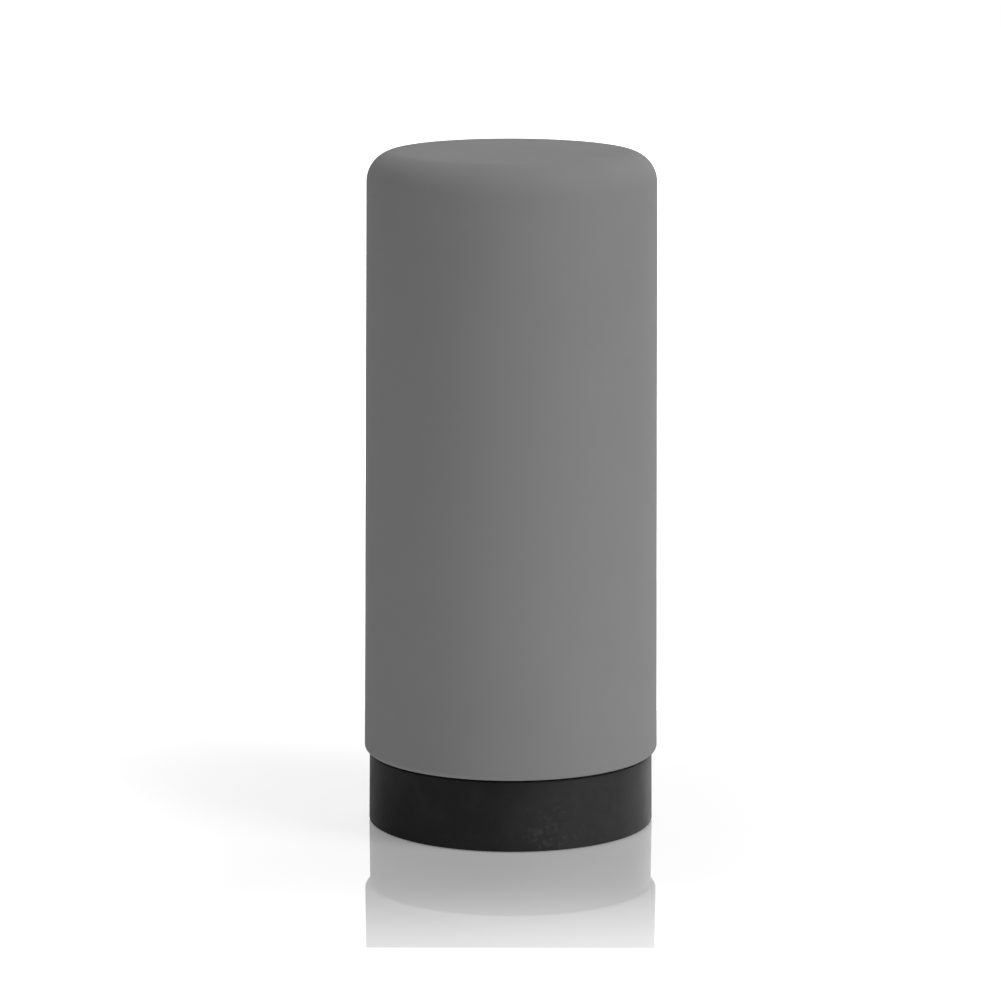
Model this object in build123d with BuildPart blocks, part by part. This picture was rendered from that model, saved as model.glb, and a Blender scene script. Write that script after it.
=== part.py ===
from build123d import *
import os

# Squeeze bottle of silicone that stands on its dispensing base.
# Millimetres, +Z up, origin on the table in the middle of the foot ring.

# Whole object
total_height = 142.0
body_diameter = 61.5

# Silicone body
body_draft = 0.75  # the radius that the wall loses from the mouth up to the top
body_wall = 2.3
body_top_wall = 2.8
top_crown = 0.9
top_fillet = 6.3
lip_fillet = 1.2
body_flange = 2.2
grip_groove_depth = 0.45
grip_groove_height = 1.5

# Base shell
base_height = 14.9
base_gap = 0.3
base_inset = 1.06
base_draft = 0.13  # the radius that the shell gains from its rim down to the table
base_wall = 1.8
base_floor = 2.0
base_edge_fillet = 0.5
base_rim_fillet = 0.3
snap_bead_height = 0.9
snap_bead_depth = 0.3
key_count = 6
key_width = 1.6
key_depth = 1.0
key_height = 7.5
well_chamfer = 1.2

# Foot ring
foot_proud = 0.15
foot_sunk = 0.8
foot_width = 3.0
foot_inset = 3.2
foot_fillet = 0.15

# Valve carrier
carrier_floor = 1.6
carrier_wall = 1.7
carrier_gap = 1.5
carrier_flange = 1.5
carrier_rim_chamfer = 0.6

# Valve, its pocket and its retainer
valve_diameter = 18.8
valve_flange = 1.1
valve_flange_width = 3.0
valve_web = 0.6
valve_cone = 0.95
valve_head = 0.9
valve_head_drop = 0.7
valve_dome = 0.7
valve_slit_length = 7.0
valve_slit_width = 0.12
pocket_lip = 1.0
pocket_wall = 1.8
pocket_drop = 0.75
retainer_thickness = 1.2
retainer_width = 2.6
retainer_chamfer = 0.4
pocket_bead_height = 0.5
pocket_bead_depth = 0.3

# Neck collar and clamp ring
collar_wall = 2.0
collar_flange = 1.8
collar_funnel = 3.0
collar_skirt_height = 8.0
collar_skirt_wall = 1.8
collar_rib_height = 1.1
grip_shares = (0.3, 0.72)  # places of the ribs up the height of the skirt
shoulder_width = 0.9
clamp_thickness = 1.4
clamp_chamfer = 0.3
neck_bead_height = 0.5
neck_bead_depth = 0.35
nose_gap = 0.5
nose_chamfer = 0.3

# Seal
seal_section = 1.6
seal_step = 0.2
seal_ledge = 0.5

# Thread between the collar and the carrier
thread_pitch = 2.8
thread_crest_width = 0.8
thread_flank_gap = 0.25
thread_end_gap = 0.5
thread_start_angle = 40.0

# Clearances
fit_gap = 0.15  # between pieces that stay together
running_gap = 0.3  # between pieces that move past each other
seal_gap = 0.05  # round the seal, and where a ring is guided
root_overlap = 0.3  # how deep a ridge or a key is rooted in its wall
overrun = 1.0  # how far a cut runs past the face that it opens

# Levels from the table up
shell_bottom = foot_proud
shell_floor_top = shell_bottom + base_floor
snap_level = shell_floor_top + carrier_flange
carrier_floor_top = shell_floor_top + carrier_floor
pocket_bottom = shell_floor_top - pocket_drop
valve_bottom = pocket_bottom + pocket_lip
valve_top = valve_bottom + valve_flange
valve_head_bottom = valve_bottom - valve_head_drop
valve_head_top = valve_head_bottom + valve_head
retainer_top = valve_top + retainer_thickness
pocket_top = retainer_top + pocket_bead_height
mouth_level = base_height + base_gap
clamp_bottom = mouth_level - clamp_thickness
carrier_rim = clamp_bottom - running_gap
neck_bead_bottom = clamp_bottom - neck_bead_height
seal_space = seal_section + 2 * seal_gap
seal_floor = neck_bead_bottom - seal_space
ledge_bottom = seal_floor - seal_ledge
nose_bottom = carrier_floor_top + nose_gap
collar_seat = mouth_level + body_flange
collar_flange_top = collar_seat + collar_flange
collar_top = collar_flange_top + collar_skirt_height
grip_levels = [collar_flange_top + collar_skirt_height * share for share in grip_shares]
cavity_top = total_height - body_top_wall

# Radii from the outside in
body_radius = body_diameter / 2
body_top_radius = body_radius - body_draft
cavity_radius = body_radius - body_wall
cavity_top_radius = body_top_radius - body_wall
base_rim_radius = body_radius - base_inset
base_foot_radius = base_rim_radius + base_draft
shell_bore = base_rim_radius - base_wall
collar_radius = cavity_radius - fit_gap
clamp_radius = shell_bore - base_gap
carrier_flange_radius = shell_bore - fit_gap
carrier_radius = shell_bore - carrier_gap
carrier_bore = carrier_radius - carrier_wall
seal_bore = carrier_bore + seal_step
neck_crest = carrier_bore - running_gap
neck_root = seal_bore - seal_space
collar_bore = neck_root - collar_wall
clamp_bore = neck_crest + fit_gap
clamp_seat = clamp_bore - seal_gap
neck_bead = clamp_bore + neck_bead_depth
neck_shoulder = neck_crest + shoulder_width
mouth_radius = neck_shoulder + fit_gap
valve_radius = valve_diameter / 2
pocket_radius = valve_radius + fit_gap
pocket_opening = valve_radius - valve_flange_width
retainer_radius = pocket_radius - seal_gap
valve_sleeve_radius = pocket_opening - fit_gap
valve_head_radius = valve_sleeve_radius - valve_web
boss_radius = pocket_radius + pocket_wall
well_radius = boss_radius + fit_gap
foot_outer = base_foot_radius - foot_inset
foot_inner = foot_outer - foot_width


def dome_radius(rim_radius, rise):
    """Radius of the ball that caps a rim of a radius with a rise in its middle."""
    return (rim_radius**2 + rise**2) / (2 * rise)


def cavity_radius_at(level):
    """Inner radius of the drafted silicone wall at a level."""
    climbed_share = (level - collar_seat) / (cavity_top - top_crown - collar_seat)
    return cavity_radius - body_draft * climbed_share


def crowned_solid(low_radius, high_radius, low_level, top_level, shoulder_fillet):
    """Drafted cylinder with a crowned top and a rounded shoulder."""
    rim = (high_radius, top_level - top_crown)
    with BuildPart() as solid:
        with BuildSketch(Plane.XZ) as half:
            with BuildLine():
                Polyline((0, top_level), (0, low_level), (low_radius, low_level), rim)
                RadiusArc(rim, (0, top_level), -dome_radius(high_radius, top_crown))
            make_face()
            fillet(half.vertices().sort_by_distance(rim)[0], shoulder_fillet)
        revolve(axis=Axis.Z)
    return solid.part


def thread_ridge(wall_radius, bottom, top, start_angle, depth):
    """Right-hand ridge on a round wall, which stands outwards where depth is positive."""
    side = 1 if depth > 0 else -1
    sunk = -side * root_overlap
    flare = (thread_root_width - thread_crest_width) / abs(depth)
    rooted_width = thread_root_width + flare * root_overlap
    axis_line = Edge.make_line((0, 0, bottom), (0, 0, top))
    with BuildPart() as ridge:
        with BuildLine(Plane.XY.offset(bottom)):
            spiral = Helix(pitch=thread_pitch, height=top - bottom, radius=wall_radius)
        start = spiral @ 0
        with BuildSketch(Plane(origin=start, x_dir=(1, 0, 0), z_dir=spiral % 0)):
            with BuildLine():
                Polyline(
                    (sunk, -rooted_width / 2),
                    (depth, -thread_crest_width / 2),
                    (depth, thread_crest_width / 2),
                    (sunk, rooted_width / 2),
                    close=True,
                )
            make_face()
        sweep(path=spiral, binormal=axis_line, clean=False)
    return ridge.part.rotate(Axis.Z, start_angle)


# Thread: both ridges follow one helix, half a pitch apart
neck_thread_depth = neck_crest - neck_root
carrier_crest = neck_root + running_gap
flank_middle_share = (1 + running_gap / neck_thread_depth) / 2
flank_swell = thread_pitch / 2 - thread_flank_gap - thread_crest_width
thread_root_width = thread_crest_width + flank_swell / (1 - flank_middle_share)
neck_thread_bottom = nose_bottom + nose_chamfer + thread_root_width / 2
neck_thread_top = ledge_bottom - thread_end_gap - thread_root_width / 2
carrier_thread_bottom = carrier_floor_top + running_gap + thread_root_width / 2
carrier_thread_top = ledge_bottom - running_gap - thread_root_width / 2
carrier_thread_turn = (carrier_thread_bottom - neck_thread_bottom - thread_pitch / 2) / thread_pitch
carrier_start_angle = thread_start_angle + 360 * carrier_thread_turn
engaged_turns = (carrier_thread_top - neck_thread_bottom - thread_pitch / 2) / thread_pitch
neck_ridge = thread_ridge(
    neck_root, neck_thread_bottom, neck_thread_top, thread_start_angle, neck_thread_depth
)
carrier_ridge = thread_ridge(
    carrier_bore,
    carrier_thread_bottom,
    carrier_thread_top,
    carrier_start_angle,
    carrier_crest - carrier_bore,
)
print("turns until the threads part", engaged_turns, "rise", engaged_turns * thread_pitch)

# Silicone body: drafted, closed and crowned on top, with an inturned flange at the mouth
outer_form = crowned_solid(body_radius, body_top_radius, mouth_level, total_height, top_fillet)
cavity_form = crowned_solid(
    cavity_radius, cavity_top_radius, collar_seat, cavity_top, top_fillet - body_wall
)
with BuildPart() as squeeze_body:
    add(outer_form)
    lip_edges = squeeze_body.edges().filter_by(GeomType.CIRCLE).group_by(Axis.Z)[0]
    fillet(lip_edges, lip_fillet)
    add(cavity_form, mode=Mode.SUBTRACT)
    with BuildSketch(Plane.XY.offset(mouth_level - overrun)):
        Circle(mouth_radius)
    extrude(amount=body_flange + 2 * overrun, mode=Mode.SUBTRACT)
    for level in grip_levels:
        with BuildSketch(Plane.XY.offset(level - grip_groove_height / 2)):
            Circle(cavity_radius_at(level) + grip_groove_depth)
        extrude(amount=grip_groove_height, mode=Mode.SUBTRACT)
squeeze_body.part.label = "squeeze_body"

# Neck collar: skirt and flange inside the silicone, spigot with thread down through the mouth
rib_half = collar_rib_height / 2
rib_radii = [cavity_radius_at(level) + grip_groove_depth - fit_gap for level in grip_levels]
skirt_inner = collar_radius - collar_skirt_wall
with BuildPart() as neck_collar:
    with BuildSketch(Plane.XZ):
        with BuildLine():
            Polyline(
                (collar_bore, nose_bottom),
                (neck_root - nose_chamfer, nose_bottom),
                (neck_root, nose_bottom + nose_chamfer),
                (neck_root, ledge_bottom),
                (neck_crest, ledge_bottom),
                (neck_crest, seal_floor),
                (neck_root, seal_floor),
                (neck_root, neck_bead_bottom),
                (neck_crest, neck_bead_bottom),
                (neck_bead, clamp_bottom - fit_gap),
                (neck_bead, clamp_bottom),
                (clamp_seat, clamp_bottom),
                (clamp_seat, mouth_level),
                (neck_shoulder, mouth_level),
                (neck_shoulder, collar_seat),
                (collar_radius, collar_seat),
                (collar_radius, grip_levels[0] - rib_half),
                (rib_radii[0], grip_levels[0] - rib_half),
                (collar_radius, grip_levels[0] + rib_half),
                (collar_radius, grip_levels[1] - rib_half),
                (rib_radii[1], grip_levels[1] - rib_half),
                (collar_radius, grip_levels[1] + rib_half),
                (collar_radius, collar_top),
                (skirt_inner, collar_top),
                (skirt_inner, collar_flange_top + collar_funnel),
                (collar_bore, clamp_bottom),
                close=True,
            )
        make_face()
    revolve(axis=Axis.Z)
    top_edges = neck_collar.edges().filter_by(GeomType.CIRCLE).group_by(Axis.Z)[-1]
    chamfer(top_edges, nose_chamfer)
    add(neck_ridge, clean=False)
neck_collar.part.label = "neck_collar"

# Clamp ring: snapped on the spigot, it pinches the silicone flange from below
with BuildPart() as clamp_ring:
    with BuildSketch(Plane.XY.offset(clamp_bottom)):
        Circle(clamp_radius)
        Circle(clamp_bore, mode=Mode.SUBTRACT)
    extrude(amount=clamp_thickness)
    lower_edges = clamp_ring.edges().filter_by(GeomType.CIRCLE).group_by(Axis.Z)[0]
    chamfer(lower_edges.sort_by(SortBy.RADIUS)[-1], clamp_chamfer)
clamp_ring.part.label = "clamp_ring"

# Neck seal: an O-ring between the ledge and the bead of the spigot
with BuildPart() as neck_seal:
    with BuildSketch(Plane.XZ):
        with Locations((neck_root + seal_gap + seal_section / 2, seal_floor + seal_space / 2)):
            Circle(seal_section / 2)
    revolve(axis=Axis.Z)
neck_seal.part.label = "neck_seal"

# Base shell: outer cup with a well for the valve and a groove for the foot ring
with BuildPart() as base_shell:
    with BuildSketch(Plane.XZ):
        with BuildLine():
            Polyline(
                (well_radius, shell_bottom),
                (base_foot_radius, shell_bottom),
                (base_rim_radius, base_height),
                (shell_bore, base_height),
                (shell_bore, snap_level + snap_bead_height),
                (shell_bore - snap_bead_depth, snap_level + snap_bead_height / 2),
                (shell_bore - snap_bead_depth, snap_level),
                (shell_bore, snap_level),
                (shell_bore, shell_floor_top),
                (well_radius, shell_floor_top),
                close=True,
            )
        make_face()
    revolve(axis=Axis.Z)
    round_edges = base_shell.edges().filter_by(GeomType.CIRCLE)
    foot_edges = round_edges.group_by(Axis.Z)[0].sort_by(SortBy.RADIUS)
    rim_edges = round_edges.group_by(Axis.Z)[-1]
    fillet(foot_edges[-1], base_edge_fillet)
    fillet(rim_edges, base_rim_fillet)
    under_edges = base_shell.edges().filter_by(GeomType.CIRCLE).group_by(Axis.Z)[0]
    chamfer(under_edges.sort_by(SortBy.RADIUS)[0], well_chamfer)
    with BuildSketch(Plane.XY.offset(shell_bottom - overrun)):
        Circle(foot_outer + fit_gap)
        Circle(foot_inner - fit_gap, mode=Mode.SUBTRACT)
    extrude(amount=foot_sunk + overrun, mode=Mode.SUBTRACT)
    with BuildSketch(Plane.XY.offset(shell_floor_top)):
        with PolarLocations(shell_bore - key_depth, key_count):
            Rectangle(key_depth + root_overlap, key_width, align=(Align.MIN, Align.CENTER))
    extrude(amount=key_height)
base_shell.part.label = "base_shell"

# Valve carrier: threaded cup with a pocket for the valve in its floor
with BuildPart() as valve_carrier:
    with BuildSketch(Plane.XZ):
        with BuildLine():
            Polyline(
                (pocket_opening, pocket_bottom),
                (boss_radius, pocket_bottom),
                (boss_radius, shell_floor_top),
                (carrier_flange_radius, shell_floor_top),
                (carrier_flange_radius, snap_level),
                (carrier_radius, snap_level),
                (carrier_radius, carrier_rim),
                (seal_bore + carrier_rim_chamfer, carrier_rim),
                (seal_bore, carrier_rim - carrier_rim_chamfer),
                (seal_bore, seal_floor - running_gap),
                (carrier_bore, seal_floor - running_gap),
                (carrier_bore, carrier_floor_top),
                (boss_radius, carrier_floor_top),
                (boss_radius, pocket_top),
                (pocket_radius, pocket_top),
                (pocket_radius - pocket_bead_depth, pocket_top - pocket_bead_height / 2),
                (pocket_radius - pocket_bead_depth, retainer_top),
                (pocket_radius, retainer_top),
                (pocket_radius, valve_bottom),
                (pocket_opening, valve_bottom),
                close=True,
            )
        make_face()
    revolve(axis=Axis.Z)
    with BuildSketch(Plane.XY.offset(shell_floor_top)):
        with PolarLocations(shell_bore - key_depth - fit_gap, key_count):
            Rectangle(key_depth + overrun, key_width + 2 * fit_gap, align=(Align.MIN, Align.CENTER))
    extrude(amount=carrier_flange, mode=Mode.SUBTRACT)
    add(carrier_ridge, clean=False)
valve_carrier.part.label = "valve_carrier"

# Slit valve: flange, short sleeve and a domed head that a cross slit opens
with BuildPart() as slit_valve:
    with BuildSketch(Plane.XZ):
        with BuildLine():
            Polyline(
                (0, valve_head_bottom + valve_dome),
                (0, valve_head_top + valve_dome),
            )
            RadiusArc(
                (0, valve_head_top + valve_dome),
                (valve_head_radius, valve_head_top),
                dome_radius(valve_head_radius, valve_dome),
            )
            Polyline(
                (valve_head_radius, valve_head_top),
                (valve_head_radius + valve_cone, valve_top),
                (valve_radius, valve_top),
                (valve_radius, valve_bottom),
                (valve_sleeve_radius, valve_bottom),
                (valve_sleeve_radius, valve_head_bottom),
                (valve_head_radius, valve_head_bottom),
            )
            RadiusArc(
                (valve_head_radius, valve_head_bottom),
                (0, valve_head_bottom + valve_dome),
                -dome_radius(valve_head_radius, valve_dome),
            )
        make_face()
    revolve(axis=Axis.Z)
    with BuildSketch(Plane.XY.offset(valve_head_bottom)):
        Rectangle(valve_slit_length, valve_slit_width)
        Rectangle(valve_slit_width, valve_slit_length)
    extrude(amount=valve_head + valve_dome, mode=Mode.SUBTRACT)
slit_valve.part.label = "slit_valve"

# Valve retainer: ring snapped in over the flange of the valve
with BuildPart() as valve_retainer:
    with BuildSketch(Plane.XY.offset(valve_top)):
        Circle(retainer_radius)
        Circle(retainer_radius - retainer_width, mode=Mode.SUBTRACT)
    extrude(amount=retainer_thickness)
    upper_edges = valve_retainer.edges().filter_by(GeomType.CIRCLE).group_by(Axis.Z)[-1]
    chamfer(upper_edges.sort_by(SortBy.RADIUS)[0], retainer_chamfer)
valve_retainer.part.label = "valve_retainer"

# Foot ring: soft ring let into the underside
with BuildPart() as foot_ring:
    with BuildSketch():
        Circle(foot_outer)
        Circle(foot_inner, mode=Mode.SUBTRACT)
    extrude(amount=foot_proud + foot_sunk)
    table_edges = foot_ring.edges().filter_by(GeomType.CIRCLE).group_by(Axis.Z)[0]
    fillet(table_edges, foot_fillet)
foot_ring.part.label = "foot_ring"

pieces = (
    squeeze_body,
    neck_collar,
    clamp_ring,
    neck_seal,
    base_shell,
    valve_carrier,
    slit_valve,
    valve_retainer,
    foot_ring,
)
os.makedirs("parts", exist_ok=True)
for piece in pieces:
    export_step(piece.part, f"parts/{piece.part.label}.step")
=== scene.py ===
import math

import bpy
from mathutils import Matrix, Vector, noise


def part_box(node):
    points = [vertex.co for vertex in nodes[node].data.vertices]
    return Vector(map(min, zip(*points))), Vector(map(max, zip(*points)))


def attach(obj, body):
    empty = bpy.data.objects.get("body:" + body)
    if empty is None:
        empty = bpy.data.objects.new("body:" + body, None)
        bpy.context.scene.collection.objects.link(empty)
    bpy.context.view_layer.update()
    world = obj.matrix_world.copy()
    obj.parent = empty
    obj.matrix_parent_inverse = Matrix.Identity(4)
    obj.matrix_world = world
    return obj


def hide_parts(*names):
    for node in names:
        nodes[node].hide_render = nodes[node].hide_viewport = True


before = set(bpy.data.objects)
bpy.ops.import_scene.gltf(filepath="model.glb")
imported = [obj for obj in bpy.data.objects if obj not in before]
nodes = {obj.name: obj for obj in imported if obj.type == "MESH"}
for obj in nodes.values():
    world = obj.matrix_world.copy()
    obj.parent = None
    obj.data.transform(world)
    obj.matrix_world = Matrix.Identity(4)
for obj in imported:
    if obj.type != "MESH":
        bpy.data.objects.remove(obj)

MM = 0.001
scene = bpy.context.scene
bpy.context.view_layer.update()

# Camera of the photograph, in the frame of the bottle. Angles are in radians, lens and sensor in mm
CAMERA_AWAY = 996.0 * MM
CAMERA_HEIGHT = 249.7 * MM
CAMERA_ASIDE = -2.52 * MM
CAMERA_PITCH = 0.1803
CAMERA_ROLL = -0.0016
CAMERA_LENS = 174.37
CAMERA_SENSOR = 36.0

# Silicone body
BODY_WALL = 2.3 * MM
BODY_TOP_WALL = 2.8 * MM
BODY_DRAFT = 0.75 * MM
BODY_CROWN = 0.9 * MM
BODY_SHOULDER = 6.3 * MM
BODY_LIP = 1.2 * MM
BODY_FLANGE = 2.2 * MM
BODY_MOUTH = 25.44 * MM
GROOVE_DEPTH = 0.45 * MM
GROOVE_HEIGHT = 1.5 * MM
GROOVE_SHARES = (0.3, 0.72)  # places up the height of the collar's skirt
SKIRT_HEIGHT = 8.0 * MM
WAVE_DEPTH = 0.03 * MM
WAVE_LENGTH = 26.0 * MM
WAVE_START = 9.0 * MM

# Slit valve
VALVE_FLANGE = 1.1 * MM
VALVE_FLANGE_WIDTH = 3.0 * MM
VALVE_SLEEVE_GAP = 0.15 * MM
VALVE_WEB = 0.6 * MM
VALVE_CONE = 0.95 * MM
VALVE_HEAD = 0.9 * MM
VALVE_HEAD_DROP = 0.7 * MM
VALVE_DOME = 0.7 * MM
VALVE_ROUNDING = 0.15 * MM
SLIT_LENGTH = 7.0 * MM
SLIT_WIDTH = 0.12 * MM
BLADE_ENDS = (-0.25, 1.75)  # levels of the cutting blade's ends, in heights of the valve's head

# Foot ring
FOOT_WIDTH = 3.0 * MM
FOOT_ROUNDING = 0.15 * MM
FOOT_GROOVES = 4
FOOT_GROOVE_DEPTH = 0.12 * MM
FOOT_GROOVE_WIDTH = 0.25 * MM

# Neck seal
SEAL_FLASH = 0.03 * MM

# Turned meshes
AROUND = 288
WALL_RINGS = 44
ARC_RINGS = 16
CORNER_RINGS = 8
SEAL_RINGS = 48
CROWN_RINGS = 24
SMOOTH_ANGLE = math.radians(32)

# Finishes. Their colours are linear. A noise has a size for its features, and may have a detail, a
# roughness and a warp. A SPAN maps the noise from its first two numbers to its last two
NOISE_COMMON = (0.3, 0.7)  # most of a noise lies between these

# Finish of the silicone: paler low on the body by painted bounce light, cloudy, with painted light on
# the lip, specks and two sizes of skin
SILICONE_COLOR = (0.179, 0.179, 0.179)
SILICONE_ROUGHNESS = 0.85
SILICONE_SPECULAR = 0.03
# painted bounce light: the body grows paler towards the bottom, as if lit from the floor
SILICONE_BOUNCE_LIGHT_PLACE = {"point": (0, 0, 15 * MM), "core": 32 * MM, "reach": 108 * MM}
SILICONE_BOUNCE_LIGHT_COLOR = (0.2, 0.2, 0.2)
SILICONE_CLOUD_NOISE = {"size": 18 * MM, "detail": 3}
SILICONE_CLOUD_SPAN = (0.35, 0.65, 0, 0.6)
SILICONE_CLOUD_COLOR = (0.19, 0.19, 0.19)
# painted light on the lip, which lifts the shade of its rounded lower edge
SILICONE_LIP_LIGHT_COLOR = (0.262, 0.262, 0.262)
SILICONE_SPECKS = {"spacing": 5 * MM, "size": 0.12 * MM}
SILICONE_SPECK_COLOR = (0.24, 0.24, 0.24)
SILICONE_DULL_NOISE = {"size": 3 * MM, "detail": 4}
SILICONE_DULL_RANGE = (0.8, 0.9)
SILICONE_SKIN_NOISE = {"size": 1.1 * MM, "detail": 2}
SILICONE_SKIN_DEPTH = 0.006 * MM
SILICONE_PORE_NOISE = {"size": 0.16 * MM, "detail": 3, "roughness": 0.6}
SILICONE_PORE_DEPTH = 0.008 * MM

# Finish of the base: cloudy black, with mottled dust and a painted highlight on the right, a painted
# highlight at the right side, scuffed low on the front, painted shade at the left, with specks and a
# moulded grain
BASE_COLOR = (0.013, 0.013, 0.0132)
BASE_ROUGHNESS = 0.54
BASE_SPECULAR = 0.041
BASE_CLOUD_NOISE = {"size": 8 * MM, "detail": 4, "roughness": 0.6, "warp": 0.6}
BASE_CLOUD_SPAN = (0.42, 0.66, 0, 1)
BASE_CLOUD_COLOR = (0.0172, 0.0172, 0.0174)
# mottled dust on the right, with a painted highlight where the lamps light that side
BASE_HAZE_AND_HIGHLIGHT_PLACE = {
    "point": (26 * MM, -14 * MM, 8 * MM), "core": 18.5 * MM, "reach": 35.5 * MM, "ease": "SMOOTHSTEP",
}
BASE_MOTTLE_NOISE = {"size": 4.5 * MM, "detail": 6, "roughness": 0.66, "warp": 0.8}
BASE_MOTTLE_SPAN = (0.35, 0.65, 0.7, 1)
# colour of the mottled dust and painted highlight on the right
BASE_HAZE_AND_HIGHLIGHT_COLOR = (0.0292, 0.0292, 0.029)
# painted highlight at the right side of the base, where the lamps' gloss falls
BASE_SIDE_HIGHLIGHT_PLACE = {"point": (39.4 * MM, -6.9 * MM, 8 * MM), "core": 11 * MM, "reach": 22 * MM}
BASE_SIDE_HIGHLIGHT_COLOR = (0.045, 0.045, 0.0447)
BASE_WISP_NOISE = {"size": 2.6 * MM, "detail": 5, "roughness": 0.68, "warp": 1.3}
BASE_WISP_SPAN = (0.53, 0.7, 0, 1)
BASE_SCUFF_PLACE = {"point": (8.5 * MM, -27.8 * MM, 3.5 * MM), "core": 2 * MM, "reach": 10 * MM}
BASE_SCUFF_COLOR = (0.044, 0.044, 0.0438)
# painted shade low at the left front of the base, the side away from the lamps
BASE_SIDE_SHADE_PLACE = {"point": (-26 * MM, -14 * MM, 0), "core": 4 * MM, "reach": 16 * MM}
BASE_SIDE_SHADE_COLOR = (0.006, 0.006, 0.0062)
BASE_SPECKS = {"spacing": 2.6 * MM, "size": 0.09 * MM}
BASE_SPECK_COLOR = (0.05, 0.05, 0.048)
BASE_DULL_NOISE = {"size": 5 * MM, "detail": 5, "roughness": 0.6}
BASE_DULL_RANGE = (0.49, 0.59)
BASE_GRAIN_NOISE = {"size": 0.22 * MM, "detail": 3, "roughness": 0.6}
BASE_GRAIN_DEPTH = 0.012 * MM

# Finish of the other moulded plastics
MOULDED_ROUGHNESS = 0.4
MOULDED_SPECULAR = 0.4
MOULDED_PALER = 1.12
MOULDED_FLOW_NOISE = {"size": 6 * MM, "detail": 4}
MOULDED_FLOW_SPAN = (0.4, 0.65, 0, 1)
MOULDED_DULL_NOISE = {"size": 2 * MM, "detail": 4}
MOULDED_GLOSSIER = 0.05
MOULDED_DULLER = 0.08
MOULDED_GRAIN_NOISE = {"size": 0.3 * MM, "detail": 2}
MOULDED_GRAIN_DEPTH = 0.01 * MM
COLLAR_COLOR = (0.02, 0.02, 0.021)
RETAINER_COLOR = (0.6, 0.6, 0.585)

# Finish of the rubbers
RUBBER_SPECULAR = 0.3
RUBBER_PALER = 1.5
RUBBER_BLOOM_NOISE = {"size": 2.5 * MM, "detail": 5, "roughness": 0.65}
RUBBER_BLOOM_SPAN = (0.45, 0.7, 0, 1)
RUBBER_DULL_NOISE = {"size": 1.2 * MM, "detail": 4}
RUBBER_GLOSSIER = 0.06
RUBBER_DULLER = 0.1
RUBBER_SKIN_NOISE = {"size": 0.12 * MM, "detail": 3}
RUBBER_SKIN_DEPTH = 0.01 * MM
VALVE_COLOR = (0.62, 0.62, 0.6)
VALVE_ROUGHNESS = 0.42
VALVE_TRANSMISSION = 0.25
SEAL_COLOR = (0.02, 0.02, 0.02)
SEAL_ROUGHNESS = 0.4
FOOT_COLOR = (0.025, 0.025, 0.026)
FOOT_ROUGHNESS = 0.7

# Light
WHITE = (1, 1, 1, 1)
WORLD_LIGHT = 0.611
WORLD_SEEN = 1.0
LAMP_TARGET = (0, 0, 70 * MM)
LAMPS = (
    # name, degrees to the right of the camera, degrees up, distance, width and height in metres, watts
    ("key_right", 58, 10, 1.3, 0.5, 0.9, 2.9),
    ("back_right", 147, 10, 1.3, 0.5, 0.9, 5.4),
    ("high_right", 60, 50, 1.3, 0.5, 0.5, 7.5),
    ("high_back", 180, 70, 1.3, 0.5, 0.5, 1.8),
)

# Floor: its glow grows away from the bottle, apart from a painted light at the foot that lifts the
# contact shadow. The mirror image fades away from the bottle and ends at the edge of a square glossy
# plate
FLOOR_SIDE = 4000 * MM
FLOOR_COLOR = (0.84, 0.84, 0.84, 1)
GLOW_NEAR = 60.0 * MM
GLOW_FAR = 350.0 * MM
GLOW_NEAR_STRENGTH = 0.605
GLOW_FAR_STRENGTH = 1.0
# painted light: a brighter ring of glow at the foot, which lifts the contact shadow
GLOW_SHADOW_FILL = 30.0 * MM
GLOW_SHADOW_FILL_END = 40.0 * MM
GLOW_SHADOW_FILL_STRENGTH = 0.09
MIRROR_ROUGHNESS = 0.02
MIRROR_BEND = 4600 * MM  # radius of the plate's faint bend, which shortens the mirror image
MIRROR_NEAR = 45.0 * MM
MIRROR_FAR = 118.0 * MM
MIRROR_END = 102.6 * MM
MIRROR_SOFT = 1.0 * MM
MIRROR_NEAR_SHARE = 0.722
MIRROR_FAR_SHARE = 0.51


# Outlines and turned meshes


def arc(center, radius, start, end, steps):
    """Points (radius, level) on an arc about a center, both ends included, angles in radians."""
    angles = [start + (end - start) * step / steps for step in range(steps + 1)]
    return [(center[0] + radius * math.cos(a), center[1] + radius * math.sin(a)) for a in angles]


def crowned_outline(foot, rim, crown, fillet):
    """Outline up a drafted wall, round its shoulder and over a crowned top to the axis."""
    top = rim[1] + crown
    ball = (rim[0] ** 2 + crown**2) / (2 * crown)
    ball_center = Vector((0, top - ball))
    start = Vector(foot)
    wall = (Vector(rim) - start).normalized()
    inward = Vector((-wall.y, wall.x))
    offset = start + inward * fillet - ball_center
    ahead = offset.dot(wall)
    along = math.sqrt(ahead**2 - offset.length_squared + (ball - fillet) ** 2) - ahead
    center = start + inward * fillet + wall * along
    wall_end = start + wall * along
    to_ball = center - ball_center
    shoulder_start = math.atan2(-inward.y, -inward.x)
    shoulder_end = math.atan2(to_ball.y, to_ball.x)
    outline = [tuple(start.lerp(wall_end, ring / WALL_RINGS)) for ring in range(WALL_RINGS)]
    outline += arc(center, fillet, shoulder_start, shoulder_end, ARC_RINGS)
    outline += arc(ball_center, ball, shoulder_end, math.pi / 2, CROWN_RINGS)[1:-1]
    outline.append((0, top))
    return outline


def mesh_object(name, verts, faces):
    """An object in the scene, made of these corners and faces."""
    mesh = bpy.data.meshes.new(name)
    mesh.from_pydata(verts, [], faces)
    obj = bpy.data.objects.new(name, mesh)
    scene.collection.objects.link(obj)
    return obj


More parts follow.
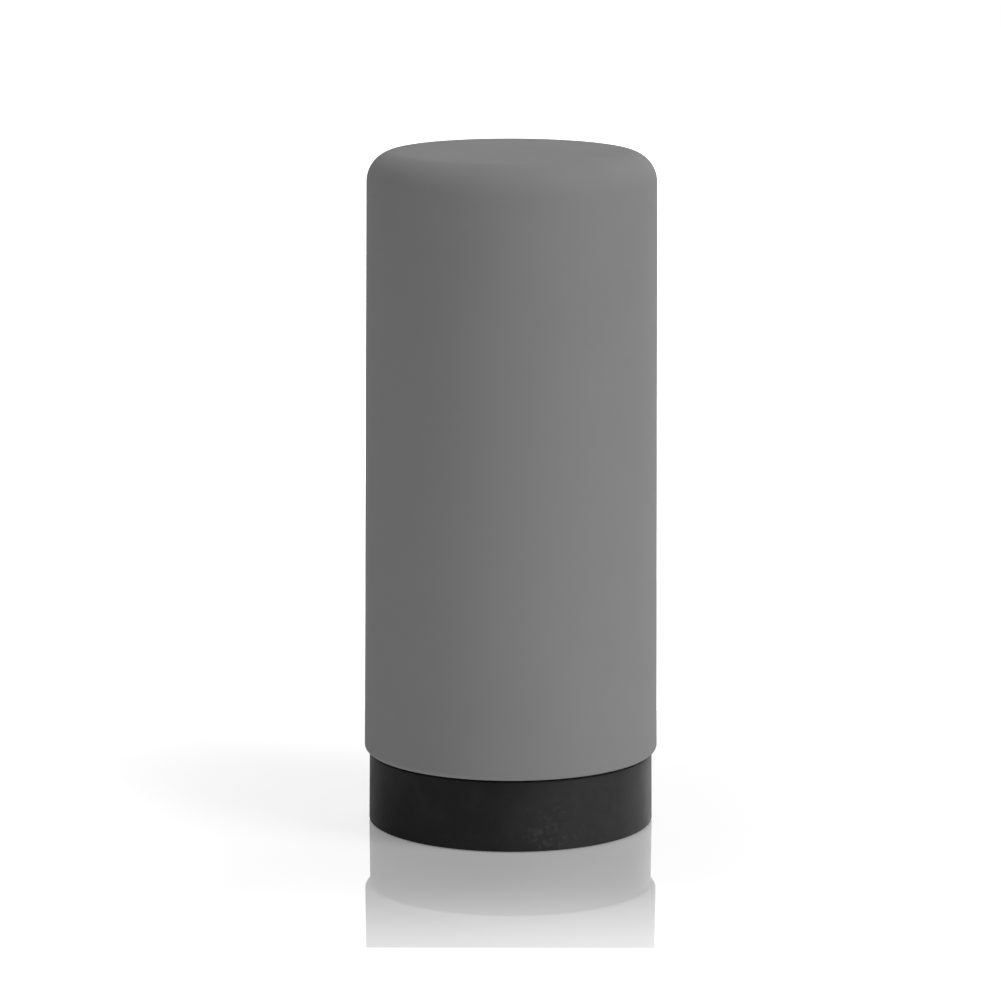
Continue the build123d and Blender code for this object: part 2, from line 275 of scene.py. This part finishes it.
def turned(name, outline, ring=False):
    """Mesh object turned from an outline, counterclockwise as seen with the axis on the left."""
    verts, rows = [], []
    for radius, level in outline:
        count = AROUND if radius > 0 else 1
        turns = [2 * math.pi * place / AROUND for place in range(count)]
        rows.append(range(len(verts), len(verts) + count))
        verts += [(radius * math.cos(a), radius * math.sin(a), level) for a in turns]
    pairs = list(zip(rows, rows[1:]))
    if ring:
        pairs.append((rows[-1], rows[0]))
    faces = []
    for low, high in pairs:
        for place in range(AROUND):
            after = (place + 1) % AROUND
            if len(low) == 1:
                faces.append((low[0], high[after], high[place]))
            elif len(high) == 1:
                faces.append((low[place], low[after], high[0]))
            else:
                faces.append((low[place], low[after], high[after], high[place]))
    return mesh_object(name, verts, faces)


def smooth(obj):
    """Smooth shading, apart from the edges that are really sharp."""
    obj.data.shade_smooth()
    obj.data.set_sharp_from_angle(angle=SMOOTH_ANGLE)


def stand_for(obj, node, body, look):
    """A new piece takes the place, the body and the finish of a CAD node."""
    obj.data.materials.append(look)
    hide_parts(node)
    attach(obj, body)


def silicone_body():
    """Hollow squeeze body with a crowned top and an inturned flange at its mouth."""
    low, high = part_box("squeeze_body")
    radius, mouth_level, top = high.x, low.z, high.z
    seat = mouth_level + BODY_FLANGE
    cavity_top = top - BODY_TOP_WALL
    cavity = radius - BODY_WALL
    skirt_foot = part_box("neck_collar")[1].z - SKIRT_HEIGHT

    outer = crowned_outline(
        (radius, mouth_level), (radius - BODY_DRAFT, top - BODY_CROWN), BODY_CROWN, BODY_SHOULDER
    )
    lip_center = (radius - BODY_LIP, mouth_level + BODY_LIP)
    lip = arc(lip_center, BODY_LIP, -math.pi / 2, 0, ARC_RINGS)
    wall = [point for point in outer if point[1] > mouth_level + BODY_LIP]

    inner = crowned_outline(
        (cavity, seat),
        (cavity - BODY_DRAFT, cavity_top - BODY_CROWN),
        BODY_CROWN,
        BODY_SHOULDER - BODY_WALL,
    )
    grooves = []
    for share in GROOVE_SHARES:
        level = skirt_foot + SKIRT_HEIGHT * share
        climbed_share = (level - seat) / (cavity_top - BODY_CROWN - seat)
        face = cavity - BODY_DRAFT * climbed_share
        grooves.append((level - GROOVE_HEIGHT / 2, level + GROOVE_HEIGHT / 2, face))
    highest_edge = grooves[-1][1]
    inside = [point for point in inner if point[1] > highest_edge]
    inside.reverse()
    for bottom, top_edge, face in reversed(grooves):
        deep = face + GROOVE_DEPTH
        inside += [(face, top_edge), (deep, top_edge), (deep, bottom), (face, bottom)]
    inside += [(cavity, seat), (BODY_MOUTH, seat), (BODY_MOUTH, mouth_level)]

    body = turned("silicone_body", inside + lip + wall)
    smooth(body)
    wave_skin(body, (len(wall) - 1) * AROUND + 1, mouth_level + BODY_LIP)
    return body


def wave_skin(obj, count, start):
    """Faint waves in the last vertices of a mesh, which grow above a level."""
    skin = obj.data.vertices[-count:]
    moves = []
    for vert in skin:
        rise = min(1, (vert.co.z - start) / WAVE_START)
        moves.append(vert.normal * (WAVE_DEPTH * rise * noise.noise(vert.co / WAVE_LENGTH)))
    for vert, move in zip(skin, moves):
        vert.co += move


def valve():
    """Slit valve: flange, sleeve and a domed head with a cross slit."""
    low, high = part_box("slit_valve")
    radius = high.x
    head_bottom = low.z
    bottom = head_bottom + VALVE_HEAD_DROP
    top = bottom + VALVE_FLANGE
    head_top = head_bottom + VALVE_HEAD
    sleeve = radius - VALVE_FLANGE_WIDTH - VALVE_SLEEVE_GAP
    head = sleeve - VALVE_WEB
    ball = (head**2 + VALVE_DOME**2) / (2 * VALVE_DOME)
    lean = math.asin(head / ball)
    upper = arc((0, head_top + VALVE_DOME - ball), ball, math.pi / 2 - lean, math.pi / 2, ARC_RINGS)
    lower = arc((0, head_bottom + VALVE_DOME - ball), ball, math.pi / 2, math.pi / 2 - lean, ARC_RINGS)
    corner = VALVE_ROUNDING
    outline = [(0, lower[0][1])] + lower[1:]
    outline += [(sleeve - corner, head_bottom), (sleeve, head_bottom + corner), (sleeve, bottom)]
    outline += arc((radius - corner, bottom + corner), corner, -math.pi / 2, 0, CORNER_RINGS)
    outline += arc((radius - corner, top - corner), corner, 0, math.pi / 2, CORNER_RINGS)
    outline += [(head + VALVE_CONE, top)] + upper[:-1] + [(0, upper[-1][1])]
    obj = turned("valve", outline)
    reach = VALVE_HEAD + VALVE_DOME
    levels = [head_bottom + reach * share for share in BLADE_ENDS]
    cut_slit(obj, SLIT_LENGTH, SLIT_WIDTH, levels)
    cut_slit(obj, SLIT_WIDTH, SLIT_LENGTH, levels)
    smooth(obj)
    return obj


def cut_slit(obj, length, width, levels):
    """Cuts a straight slit through the middle of an object, from level to level."""
    around = ((-1, -1), (1, -1), (1, 1), (-1, 1))
    corners = [(x * length / 2, y * width / 2, level) for level in levels for x, y in around]
    sides = [(i, (i + 1) % 4, (i + 1) % 4 + 4, i + 4) for i in range(4)]
    blade = mesh_object("blade", corners, [(3, 2, 1, 0), (4, 5, 6, 7)] + sides)
    cut = obj.modifiers.new("slit", "BOOLEAN")
    cut.object = blade
    cut.solver = "MANIFOLD"
    depsgraph = bpy.context.evaluated_depsgraph_get()
    carved = bpy.data.meshes.new_from_object(obj.evaluated_get(depsgraph))
    obj.modifiers.clear()
    obj.data = carved
    bpy.data.objects.remove(blade)


def seal():
    """O-ring with the faint flash line that its mould leaves."""
    low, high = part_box("neck_seal")
    section = high.z - low.z
    center = (high.x - section / 2, (low.z + high.z) / 2)
    outline = arc(center, section / 2, 0, 2 * math.pi, SEAL_RINGS)[:-1]
    outline[0] = (outline[0][0] + SEAL_FLASH, outline[0][1])
    obj = turned("o_ring", outline, ring=True)
    smooth(obj)
    return obj


def foot():
    """Soft ring under the base, with fine grooves in the face that it stands on."""
    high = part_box("foot_ring")[1]
    outer, top = high.x, high.z
    inner = outer - FOOT_WIDTH
    corner = FOOT_ROUNDING
    outline = arc((inner + corner, corner), corner, math.pi, 1.5 * math.pi, CORNER_RINGS)
    pitch = FOOT_WIDTH / (FOOT_GROOVES + 1)
    for count in range(1, FOOT_GROOVES + 1):
        middle = inner + pitch * count
        outline += [
            (middle - FOOT_GROOVE_WIDTH / 2, 0),
            (middle, FOOT_GROOVE_DEPTH),
            (middle + FOOT_GROOVE_WIDTH / 2, 0),
        ]
    outline += arc((outer - corner, corner), corner, -math.pi / 2, 0, CORNER_RINGS)
    outline += [(outer, top), (inner, top)]
    obj = turned("foot", outline, ring=True)
    smooth(obj)
    return obj


# Shader nodes


def combined(tree, operation, first, second):
    """The result of a Math node for two sockets."""
    made = tree.nodes.new("ShaderNodeMath")
    made.operation = operation
    tree.links.new(first, made.inputs[0])
    tree.links.new(second, made.inputs[1])
    return made.outputs["Value"]


def ramp(tree, value, low, high, to_low, to_high, ease="LINEAR"):
    """Maps low..high to to_low..to_high, clamped."""
    made = tree.nodes.new("ShaderNodeMapRange")
    made.interpolation_type = ease
    sockets = ("From Min", "From Max", "To Min", "To Max")
    for socket, number in zip(sockets, (low, high, to_low, to_high)):
        made.inputs[socket].default_value = number
    tree.links.new(value, made.inputs["Value"])
    return made.outputs["Result"]


def parts_of(tree, vector):
    """The X, Y and Z of a vector socket, by name."""
    split = tree.nodes.new("ShaderNodeSeparateXYZ")
    tree.links.new(vector, split.inputs[0])
    return split.outputs


def ray_is_seen(tree):
    """1 for camera, glossy and transmission rays, 0 for the rays that light things."""
    paths = tree.nodes.new("ShaderNodeLightPath")
    seen = paths.outputs["Is Camera Ray"]
    for kind in ("Is Glossy Ray", "Is Transmission Ray"):
        seen = combined(tree, "MAXIMUM", seen, paths.outputs[kind])
    return seen


# Finishes


class Finish:
    """A Principled material whose detail comes from noise in the piece's own coordinates."""

    def __init__(self, name, color, roughness, specular):
        self.material = bpy.data.materials.new(name)
        self.material.use_nodes = True
        self.tree = self.material.node_tree
        self.shader = self.tree.nodes["Principled BSDF"]
        self.set("Base Color", (*color, 1))
        self.set("Roughness", roughness)
        self.set("Specular IOR Level", specular)
        self.place = self.tree.nodes.new("ShaderNodeTexCoord").outputs["Object"]
        self.relief = None

    def set(self, socket, value):
        """Gives a socket of the shader one value all over."""
        self.shader.inputs[socket].default_value = value

    def link(self, source, target):
        """Joins two sockets."""
        self.tree.links.new(source, target)

    def grain(self, size, detail=2.0, roughness=0.5, warp=0.0):
        """Noise with features of about this size, drawn out into wisps by a warp."""
        made = self.tree.nodes.new("ShaderNodeTexNoise")
        made.inputs["Scale"].default_value = 1 / size
        made.inputs["Detail"].default_value = detail
        made.inputs["Roughness"].default_value = roughness
        made.inputs["Distortion"].default_value = warp
        self.link(self.place, made.inputs["Vector"])
        return made.outputs["Fac"]

    def patches(self, noise_kind, span):
        """Patches of a noise, mapped by a span."""
        return ramp(self.tree, self.grain(**noise_kind), *span)

    def specks(self, spacing, size):
        """Scattered round specks, 1 in their middle and 0 off them."""
        made = self.tree.nodes.new("ShaderNodeTexVoronoi")
        made.inputs["Scale"].default_value = 1 / spacing
        self.link(self.place, made.inputs["Vector"])
        return ramp(self.tree, made.outputs["Distance"], size / spacing, 0, 0, 1)

    def near(self, point, core, reach, ease="LINEAR"):
        """1 within a core about a point of the piece, falling to 0 at its reach."""
        away = self.tree.nodes.new("ShaderNodeVectorMath")
        away.operation = "DISTANCE"
        away.inputs[1].default_value = point
        self.link(self.place, away.inputs[0])
        return ramp(self.tree, away.outputs["Value"], core, reach, 1, 0, ease)

    def below(self, level, reach):
        """1 at a level of the piece and under it, falling to 0 at its reach above."""
        height = parts_of(self.tree, self.place)["Z"]
        return ramp(self.tree, height, level, level + reach, 1, 0)

    def both(self, first, second):
        """The share where two shares overlap."""
        return combined(self.tree, "MULTIPLY", first, second)

    def tint(self, share, color):
        """Lays a second colour over what is there, by a share."""
        made = self.tree.nodes.new("ShaderNodeMix")
        made.data_type = "RGBA"
        base = self.shader.inputs["Base Color"]
        if base.is_linked:
            self.link(base.links[0].from_socket, made.inputs["A"])
        else:
            made.inputs["A"].default_value = base.default_value
        made.inputs["B"].default_value = (*color, 1)
        self.link(share, made.inputs["Factor"])
        self.link(made.outputs["Result"], base)

    def dull(self, noise_kind, low, high):
        """Roughness that follows a noise."""
        varied = self.patches(noise_kind, (*NOISE_COMMON, low, high))
        self.link(varied, self.shader.inputs["Roughness"])

    def bump(self, noise_kind, depth):
        """Adds relief of a real depth, from a noise."""
        height = self.grain(**noise_kind)
        made = self.tree.nodes.new("ShaderNodeBump")
        made.inputs["Distance"].default_value = depth
        self.link(height, made.inputs["Height"])
        if self.relief:
            self.link(self.relief, made.inputs["Normal"])
        self.relief = made.outputs["Normal"]
        self.link(self.relief, self.shader.inputs["Normal"])


def silicone_look():
    """Matt silicone with painted bounce light low on the body, a soft cloudiness, painted light on the
    lip, specks and a fine skin.
    """
    look = Finish("silicone_matt", SILICONE_COLOR, SILICONE_ROUGHNESS, SILICONE_SPECULAR)
    # painted bounce light: paler towards the bottom of the body
    look.tint(look.near(**SILICONE_BOUNCE_LIGHT_PLACE), SILICONE_BOUNCE_LIGHT_COLOR)
    look.tint(look.patches(SILICONE_CLOUD_NOISE, SILICONE_CLOUD_SPAN), SILICONE_CLOUD_COLOR)
    # painted light on the lip, which lifts the shade of its rounded lower edge
    look.tint(look.below(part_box("squeeze_body")[0].z, BODY_LIP), SILICONE_LIP_LIGHT_COLOR)
    look.tint(look.specks(**SILICONE_SPECKS), SILICONE_SPECK_COLOR)
    look.dull(SILICONE_DULL_NOISE, *SILICONE_DULL_RANGE)
    look.bump(SILICONE_SKIN_NOISE, SILICONE_SKIN_DEPTH)
    look.bump(SILICONE_PORE_NOISE, SILICONE_PORE_DEPTH)
    return look.material


def base_look():
    """Matt black plastic with cloudiness, mottled dust, painted highlights on the right, painted shade
    at the left, scuffs, specks and a fine moulded grain.
    """
    look = Finish("base_matt", BASE_COLOR, BASE_ROUGHNESS, BASE_SPECULAR)
    look.tint(look.patches(BASE_CLOUD_NOISE, BASE_CLOUD_SPAN), BASE_CLOUD_COLOR)
    # mottled dust with a painted highlight, on the lamp-lit right side
    haze_and_highlight = look.near(**BASE_HAZE_AND_HIGHLIGHT_PLACE)
    mottle = look.patches(BASE_MOTTLE_NOISE, BASE_MOTTLE_SPAN)
    look.tint(look.both(haze_and_highlight, mottle), BASE_HAZE_AND_HIGHLIGHT_COLOR)
    # painted highlight at the right side of the base
    look.tint(look.near(**BASE_SIDE_HIGHLIGHT_PLACE), BASE_SIDE_HIGHLIGHT_COLOR)
    wisps = look.patches(BASE_WISP_NOISE, BASE_WISP_SPAN)
    scuff = look.near(**BASE_SCUFF_PLACE)
    look.tint(look.both(scuff, wisps), BASE_SCUFF_COLOR)
    # painted shade low at the left front, the side away from the lamps
    look.tint(look.near(**BASE_SIDE_SHADE_PLACE), BASE_SIDE_SHADE_COLOR)
    look.tint(look.specks(**BASE_SPECKS), BASE_SPECK_COLOR)
    look.dull(BASE_DULL_NOISE, *BASE_DULL_RANGE)
    look.bump(BASE_GRAIN_NOISE, BASE_GRAIN_DEPTH)
    return look.material


def moulded_look(name, color):
    """Plain moulded plastic: faint flow marks and a fine tool grain."""
    look = Finish(name, color, MOULDED_ROUGHNESS, MOULDED_SPECULAR)
    paler = [min(1, channel * MOULDED_PALER) for channel in color]
    look.tint(look.patches(MOULDED_FLOW_NOISE, MOULDED_FLOW_SPAN), paler)
    glossy, dull = MOULDED_ROUGHNESS - MOULDED_GLOSSIER, MOULDED_ROUGHNESS + MOULDED_DULLER
    look.dull(MOULDED_DULL_NOISE, glossy, dull)
    look.bump(MOULDED_GRAIN_NOISE, MOULDED_GRAIN_DEPTH)
    return look.material


def rubber_look(name, color, roughness, transmission=0.0):
    """Soft moulded rubber with bloom and dust in its skin."""
    look = Finish(name, color, roughness, RUBBER_SPECULAR)
    look.set("Transmission Weight", transmission)
    paler = [channel * RUBBER_PALER for channel in color]
    look.tint(look.patches(RUBBER_BLOOM_NOISE, RUBBER_BLOOM_SPAN), paler)
    look.dull(RUBBER_DULL_NOISE, roughness - RUBBER_GLOSSIER, roughness + RUBBER_DULLER)
    look.bump(RUBBER_SKIN_NOISE, RUBBER_SKIN_DEPTH)
    return look.material


# Pieces

stand_for(silicone_body(), "squeeze_body", "bottle", silicone_look())
milky = rubber_look("valve_milky", VALVE_COLOR, VALVE_ROUGHNESS, VALVE_TRANSMISSION)
stand_for(valve(), "slit_valve", "base", milky)
black_rubber = rubber_look("seal_black", SEAL_COLOR, SEAL_ROUGHNESS)
stand_for(seal(), "neck_seal", "seal", black_rubber)
foot_rubber = rubber_look("foot_dark", FOOT_COLOR, FOOT_ROUGHNESS)
stand_for(foot(), "foot_ring", "base", foot_rubber)

base_black = base_look()
collar_dark = moulded_look("collar_dark", COLLAR_COLOR)
retainer_white = moulded_look("retainer_white", RETAINER_COLOR)
plastics = {
    "base_shell": base_black,
    "valve_carrier": base_black,
    "neck_collar": collar_dark,
    "clamp_ring": collar_dark,
    "valve_retainer": retainer_white,
}
for name, look in plastics.items():
    nodes[name].data.materials.clear()
    nodes[name].data.materials.append(look)


# Floor, world and lamps


def floor_white(tree, place):
    """White floor, lit by the lamps and with a glow of its own for the rays that are seen."""
    matt = tree.nodes.new("ShaderNodeBsdfDiffuse")
    matt.inputs["Color"].default_value = FLOOR_COLOR
    length = tree.nodes.new("ShaderNodeVectorMath")
    length.operation = "LENGTH"
    tree.links.new(place, length.inputs[0])
    away = length.outputs["Value"]
    rise = ramp(tree, away, GLOW_NEAR, GLOW_FAR, GLOW_NEAR_STRENGTH, GLOW_FAR_STRENGTH)
    # painted light: a brighter ring of glow at the foot, which lifts the contact shadow
    rim = ramp(tree, away, GLOW_SHADOW_FILL, GLOW_SHADOW_FILL_END, GLOW_SHADOW_FILL_STRENGTH, 0)
    strength = combined(tree, "ADD", rise, rim)
    glow = tree.nodes.new("ShaderNodeEmission")
    tree.links.new(combined(tree, "MULTIPLY", ray_is_seen(tree), strength), glow.inputs["Strength"])
    white = tree.nodes.new("ShaderNodeAddShader")
    tree.links.new(matt.outputs[0], white.inputs[0])
    tree.links.new(glow.outputs[0], white.inputs[1])
    return white.outputs[0]


def mirror_share(tree, place):
    """Share of the mirror image: it falls away from the bottle and stops at the plate's edge."""
    parts = parts_of(tree, place)
    sides = []
    for axis in ("X", "Y"):
        side = tree.nodes.new("ShaderNodeMath")
        side.operation = "ABSOLUTE"
        tree.links.new(parts[axis], side.inputs[0])
        sides.append(side.outputs["Value"])
    square = combined(tree, "MAXIMUM", *sides)
    shares = (MIRROR_NEAR_SHARE, MIRROR_FAR_SHARE)
    fade = ramp(tree, square, MIRROR_NEAR, MIRROR_FAR, *shares, ease="SMOOTHSTEP")
    stop = ramp(tree, square, MIRROR_END - MIRROR_SOFT, MIRROR_END, 1, 0)
    return combined(tree, "MULTIPLY", fade, stop)


def mirror_gloss(tree, place):
    """Gloss of the plate, whose normal leans to the front and the back as on a faint bend."""
    gloss = tree.nodes.new("ShaderNodeBsdfGlossy")
    gloss.inputs["Roughness"].default_value = MIRROR_ROUGHNESS
    lean = tree.nodes.new("ShaderNodeVectorMath")
    lean.operation = "MULTIPLY_ADD"
    lean.inputs[1].default_value = (0, 1 / MIRROR_BEND, 0)
    lean.inputs[2].default_value = (0, 0, 1)
    tree.links.new(place, lean.inputs[0])
    upright = tree.nodes.new("ShaderNodeVectorMath")
    upright.operation = "NORMALIZE"
    tree.links.new(lean.outputs["Vector"], upright.inputs[0])
    tree.links.new(upright.outputs["Vector"], gloss.inputs["Normal"])
    return gloss.outputs[0]


def floor():
    """White floor with a faint shadow, and a mirror image that fades inside a square plate."""
    half = FLOOR_SIDE / 2
    corners = [(-half, -half, 0), (half, -half, 0), (half, half, 0), (-half, half, 0)]
    obj = mesh_object("floor", corners, [range(len(corners))])
    look = bpy.data.materials.new("floor_white")
    look.use_nodes = True
    tree = look.node_tree
    tree.nodes.clear()
    place = tree.nodes.new("ShaderNodeTexCoord").outputs["Object"]
    blend = tree.nodes.new("ShaderNodeMixShader")
    tree.links.new(mirror_share(tree, place), blend.inputs["Fac"])
    tree.links.new(floor_white(tree, place), blend.inputs[1])
    tree.links.new(mirror_gloss(tree, place), blend.inputs[2])
    out = tree.nodes.new("ShaderNodeOutputMaterial")
    tree.links.new(blend.outputs[0], out.inputs["Surface"])
    obj.data.materials.append(look)


def studio_world():
    """Even soft light, which the camera and the gloss see as a white background."""
    world = bpy.data.worlds.new("studio")
    scene.world = world
    world.use_nodes = True
    tree = world.node_tree
    background = tree.nodes["Background"]
    background.inputs["Color"].default_value = WHITE
    strength = ramp(tree, ray_is_seen(tree), 0, 1, WORLD_LIGHT, WORLD_SEEN)
    tree.links.new(strength, background.inputs["Strength"])


def softbox(name, azimuth, elevation, distance, width, height, watts):
    """A rectangular lamp that faces the bottle."""
    turn, rise = math.radians(azimuth), math.radians(elevation)
    away = Vector((math.sin(turn) * math.cos(rise), -math.cos(turn) * math.cos(rise), math.sin(rise)))
    data = bpy.data.lights.new(name, "AREA")
    data.shape = "RECTANGLE"
    data.size, data.size_y = width, height
    data.energy = watts
    obj = bpy.data.objects.new(name, data)
    obj.location = Vector(LAMP_TARGET) + away * distance
    obj.rotation_euler = away.to_track_quat("Z", "Y").to_euler()
    obj.visible_camera = False
    scene.collection.objects.link(obj)


floor()
studio_world()
for lamp in LAMPS:
    softbox(*lamp)

camera_data = bpy.data.cameras.new("camera")
camera_data.lens = CAMERA_LENS
camera_data.sensor_width = CAMERA_SENSOR
camera = bpy.data.objects.new("camera", camera_data)
camera.location = (CAMERA_ASIDE, -CAMERA_AWAY, CAMERA_HEIGHT)
camera.rotation_euler = (math.pi / 2 - CAMERA_PITCH, CAMERA_ROLL, 0)
scene.collection.objects.link(camera)
scene.camera = camera
scene.view_settings.view_transform = "Standard"
